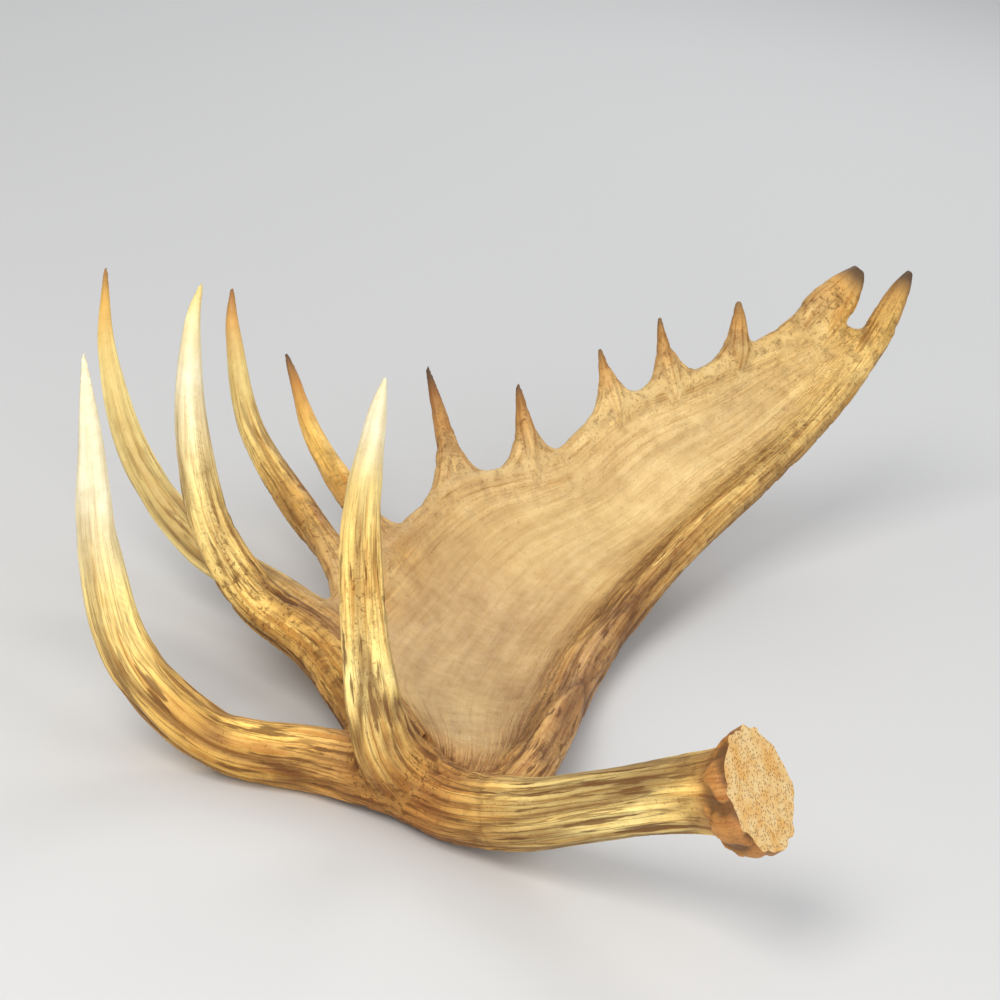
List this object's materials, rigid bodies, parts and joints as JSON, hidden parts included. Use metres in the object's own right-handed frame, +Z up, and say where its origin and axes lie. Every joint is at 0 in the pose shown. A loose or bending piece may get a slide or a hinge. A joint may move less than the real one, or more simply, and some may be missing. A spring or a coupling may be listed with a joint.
{
  "type": "moose antler",
  "caption": "Right antler of a bull moose: thick beam, cupped palm, two brow tines and long and short points along one edge, lying palm up.",
  "frame": {"origin": "centre of the bounding box in X and Y, on the surface the antler lies on", "axes": "+Z up, with the antler lying on the convex back of its palm; +Y from the beam towards the palm's far end; the beam's sawn base points to +X"},
  "size_m": [0.5176, 0.6872, 0.2345],
  "materials": {
    "beam": null,
    "palm": "antler bone, smooth, satin",
    "brow_tine_long": "antler bone, grooved, paler to the tip",
    "brow_tine_short": "antler bone, grooved, paler to the tip",
    "palm_tine_1": "antler bone, grooved, satin",
    "palm_tine_2": "antler bone, grooved, satin",
    "palm_tine_3": "antler bone, grooved, satin",
    "palm_tine_4": "antler bone, grooved, satin"
  },
  "bodies": {
    "root": {"beam": "beam", "palm": "palm", "brow_tine_long": "brow_tine_long", "brow_tine_short": "brow_tine_short", "palm_tine_1": "palm_tine_1", "palm_tine_2": "palm_tine_2", "palm_tine_3": "palm_tine_3", "palm_tine_4": "palm_tine_4"}
  },
  "joints": []
}
